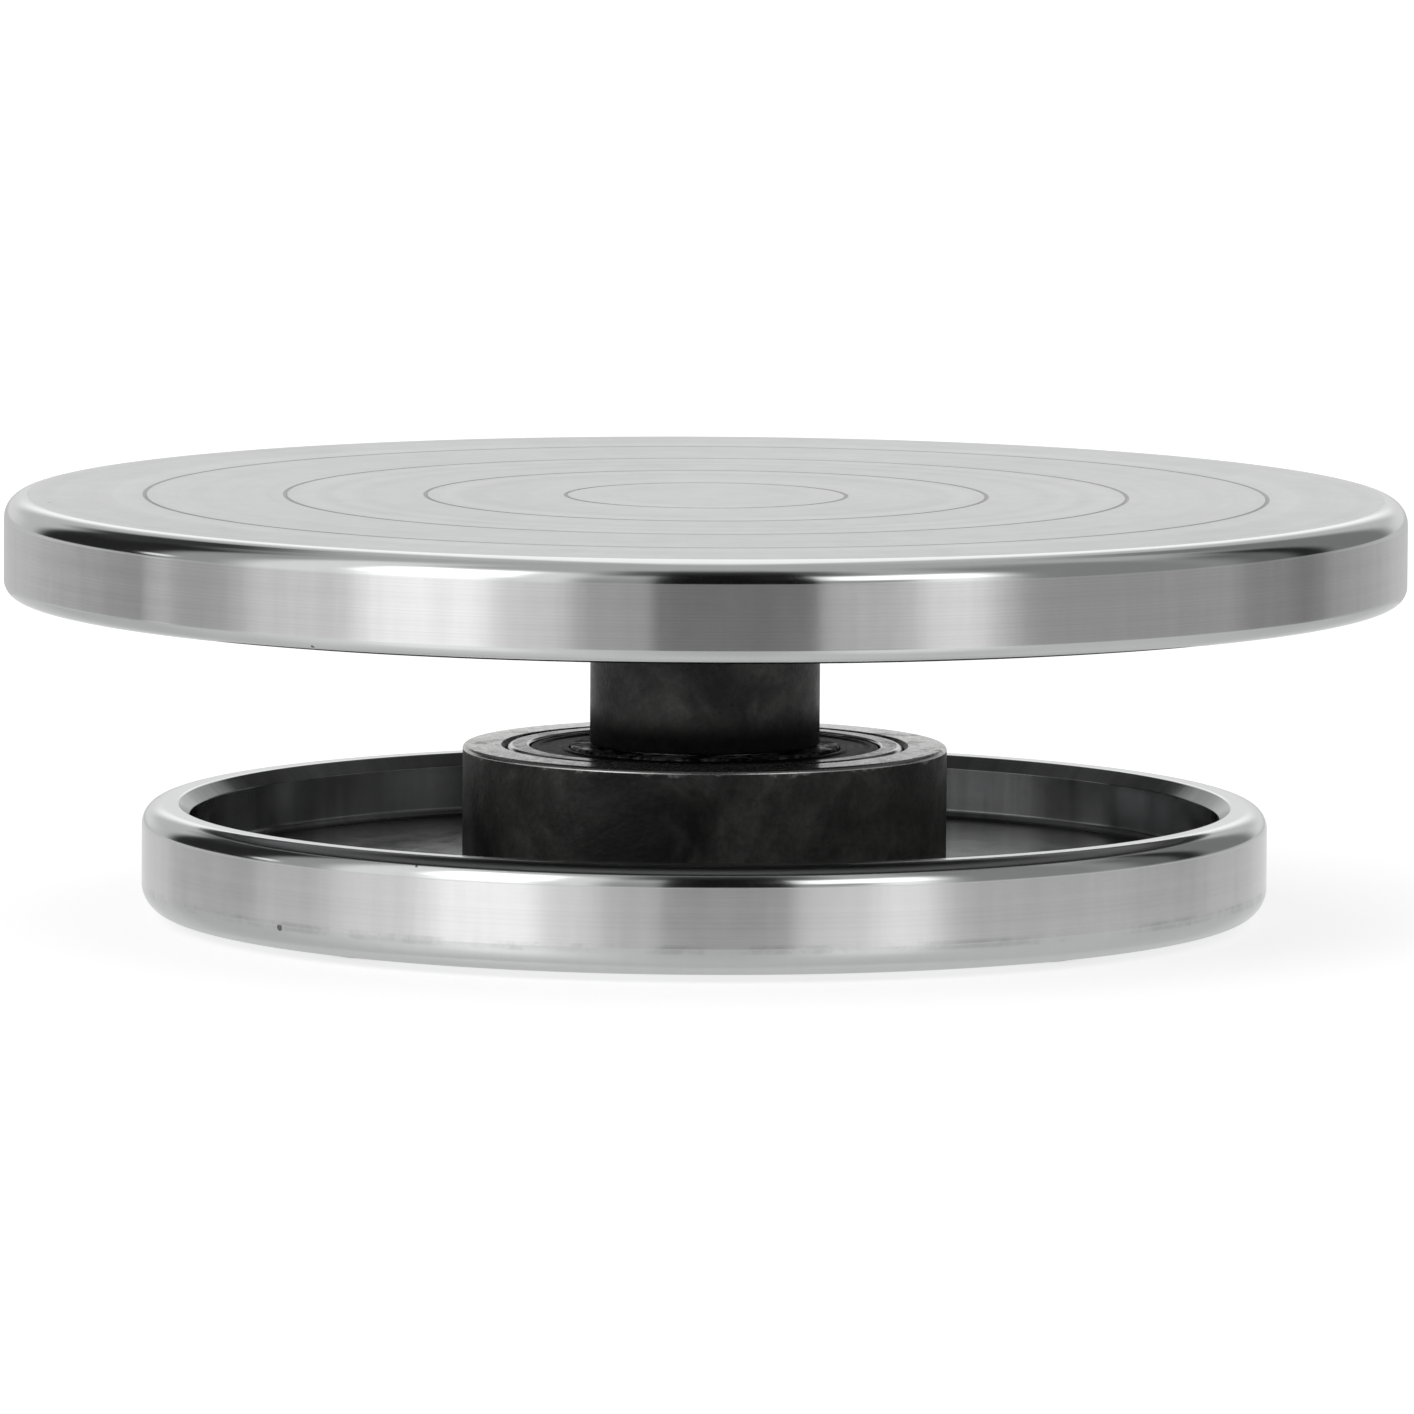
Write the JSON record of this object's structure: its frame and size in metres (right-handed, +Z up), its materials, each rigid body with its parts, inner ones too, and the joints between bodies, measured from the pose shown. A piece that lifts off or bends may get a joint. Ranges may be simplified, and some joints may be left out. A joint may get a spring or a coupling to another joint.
{
  "type": "cake turntable",
  "caption": "Round rimmed turntable disc with thin guide rings, turning on a short black neck in a sealed ball bearing above a polished dished base.",
  "frame": {"origin": "on the turning axis, at the level of the surface that the feet stand on", "axes": "+Z up along the turning axis; +X through the first ball, between two feet"},
  "size_m": [0.3, 0.3, 0.0908],
  "materials": {
    "disc": "satin, turned",
    "base": "polished",
    "black_casting": "black oxide, worn",
    "bearing_steel": "ground",
    "balls": "polished",
    "cage": "pressed",
    "seal": "matt",
    "feet": "matt",
    "zinc_steel": "zinc plated",
    "black_screw": "black oxide"
  },
  "bodies": {
    "base_unit": {"base_dish": "base", "bearing_housing": "black_casting", "outer_race": "bearing_steel", "upper_seal": "seal", "lower_seal": "seal", "housing_screw_1": "black_screw", "housing_screw_2": "black_screw", "housing_screw_3": "black_screw", "housing_screw_4": "black_screw", "foot_1": "feet", "foot_2": "feet", "foot_3": "feet", "foot_4": "feet", "foot_screw_1": "zinc_steel", "foot_screw_2": "zinc_steel", "foot_screw_3": "zinc_steel", "foot_screw_4": "zinc_steel"},
    "turning_disc": {"turntable_disc": "disc", "spindle": "black_casting", "inner_race": "bearing_steel", "retaining_washer": "zinc_steel", "lock_washer": "zinc_steel", "retaining_bolt": "zinc_steel", "disc_screw_1": "black_screw", "disc_screw_2": "black_screw", "disc_screw_3": "black_screw", "disc_screw_4": "black_screw"},
    "ball_cage": {"upper_cage_half": "cage", "lower_cage_half": "cage", "cage_rivet_1": "cage", "cage_rivet_2": "cage", "cage_rivet_3": "cage", "cage_rivet_4": "cage", "cage_rivet_5": "cage", "cage_rivet_6": "cage", "cage_rivet_7": "cage", "cage_rivet_8": "cage", "cage_rivet_9": "cage"},
    "rolling_ball_1": {"ball_1": "balls"},
    "rolling_ball_2": {"ball_2": "balls"},
    "rolling_ball_3": {"ball_3": "balls"},
    "rolling_ball_4": {"ball_4": "balls"},
    "rolling_ball_5": {"ball_5": "balls"},
    "rolling_ball_6": {"ball_6": "balls"},
    "rolling_ball_7": {"ball_7": "balls"},
    "rolling_ball_8": {"ball_8": "balls"},
    "rolling_ball_9": {"ball_9": "balls"}
  },
  "joints": [
    {"name": "disc_spin", "type": "hinge", "parent": "base_unit", "child": "turning_disc", "pos_m": [0, 0, 0.0277], "axis": [0, 0, 1], "continuous": true},
    {"name": "cage_spin", "type": "hinge", "parent": "base_unit", "child": "ball_cage", "pos_m": [0, 0, 0.0277], "axis": [0, 0, 1], "continuous": true},
    {"name": "ball_1_spin", "type": "hinge", "parent": "ball_cage", "child": "rolling_ball_1", "pos_m": [0.0325, 0, 0.0277], "axis": [0, 0, 1], "continuous": true},
    {"name": "ball_2_spin", "type": "hinge", "parent": "ball_cage", "child": "rolling_ball_2", "pos_m": [0.0249, 0.02089, 0.0277], "axis": [0, 0, 1], "continuous": true},
    {"name": "ball_3_spin", "type": "hinge", "parent": "ball_cage", "child": "rolling_ball_3", "pos_m": [0.00564, 0.03201, 0.0277], "axis": [0, 0, 1], "continuous": true},
    {"name": "ball_4_spin", "type": "hinge", "parent": "ball_cage", "child": "rolling_ball_4", "pos_m": [-0.01625, 0.02815, 0.0277], "axis": [0, 0, 1], "continuous": true},
    {"name": "ball_5_spin", "type": "hinge", "parent": "ball_cage", "child": "rolling_ball_5", "pos_m": [-0.03054, 0.01112, 0.0277], "axis": [0, 0, 1], "continuous": true},
    {"name": "ball_6_spin", "type": "hinge", "parent": "ball_cage", "child": "rolling_ball_6", "pos_m": [-0.03054, -0.01112, 0.0277], "axis": [0, 0, 1], "continuous": true},
    {"name": "ball_7_spin", "type": "hinge", "parent": "ball_cage", "child": "rolling_ball_7", "pos_m": [-0.01625, -0.02815, 0.0277], "axis": [0, 0, 1], "continuous": true},
    {"name": "ball_8_spin", "type": "hinge", "parent": "ball_cage", "child": "rolling_ball_8", "pos_m": [0.00564, -0.03201, 0.0277], "axis": [0, 0, 1], "continuous": true},
    {"name": "ball_9_spin", "type": "hinge", "parent": "ball_cage", "child": "rolling_ball_9", "pos_m": [0.0249, -0.02089, 0.0277], "axis": [0, 0, 1], "continuous": true}
  ],
  "couplings": [
    {"joint": "cage_spin", "follows": "disc_spin", "ratio": 0.40231},
    {"joint": "ball_1_spin", "follows": "disc_spin", "ratio": -2.4614},
    {"joint": "ball_2_spin", "follows": "disc_spin", "ratio": -2.4614},
    {"joint": "ball_3_spin", "follows": "disc_spin", "ratio": -2.4614},
    {"joint": "ball_4_spin", "follows": "disc_spin", "ratio": -2.4614},
    {"joint": "ball_5_spin", "follows": "disc_spin", "ratio": -2.4614},
    {"joint": "ball_6_spin", "follows": "disc_spin", "ratio": -2.4614},
    {"joint": "ball_7_spin", "follows": "disc_spin", "ratio": -2.4614},
    {"joint": "ball_8_spin", "follows": "disc_spin", "ratio": -2.4614},
    {"joint": "ball_9_spin", "follows": "disc_spin", "ratio": -2.4614}
  ]
}
